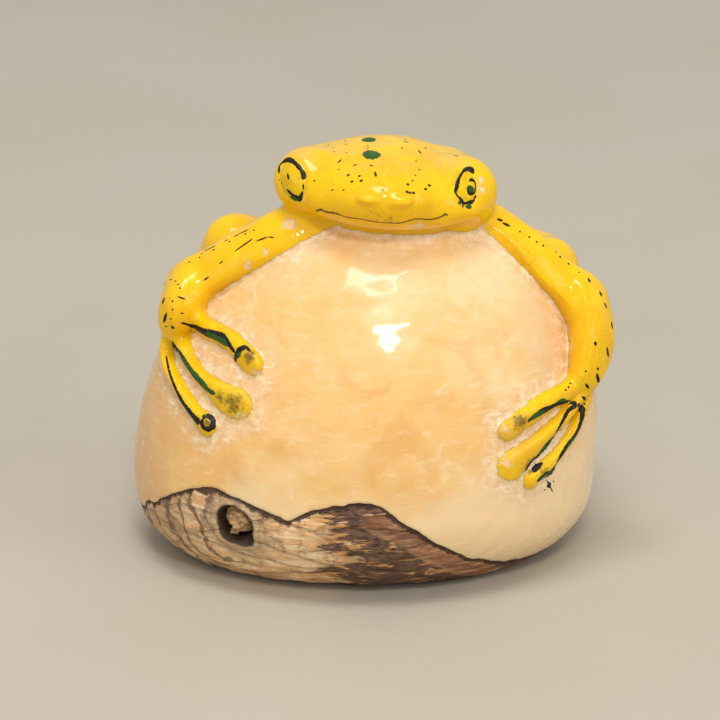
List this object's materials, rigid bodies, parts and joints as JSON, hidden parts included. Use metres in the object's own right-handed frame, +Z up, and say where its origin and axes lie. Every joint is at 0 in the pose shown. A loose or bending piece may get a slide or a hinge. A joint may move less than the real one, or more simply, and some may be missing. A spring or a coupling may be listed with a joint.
{
  "type": "carved nut frog figurine",
  "caption": "Frog figurine carved from one vegetable-ivory nut: a painted frog hugs the polished nut, which stands on its own brown seed coat.",
  "frame": {"origin": "centre of the flat sole that the nut stands on", "axes": "+Z up, -Y the front that the frog faces, +X the frog's own left"},
  "size_m": [0.0522, 0.0423, 0.0454],
  "materials": {
    "ivory": "polished vegetable ivory, waxy, mottled cream and honey",
    "husk": "worn fibrous seed coat, tan to dark brown, dull sheen",
    "plug": "dry woody remnant, matt",
    "yellow_paint": "carved nut under glossy yellow paint with hand-inked marks",
    "eye_paint": "carved nut under glossy yellow paint, outlined in ink"
  },
  "bodies": {
    "root": {"nut_body": "ivory", "seed_coat": "husk", "pore_plug": "plug", "frog_head": "yellow_paint", "right_eye": "eye_paint", "left_eye": "eye_paint", "frog_trunk": "yellow_paint", "right_foreleg": "yellow_paint", "left_foreleg": "yellow_paint", "right_hand": "yellow_paint", "left_hand": "yellow_paint", "right_hind_leg": "yellow_paint", "left_hind_leg": "yellow_paint", "right_hind_foot": "yellow_paint", "left_hind_foot": "yellow_paint"}
  },
  "joints": []
}
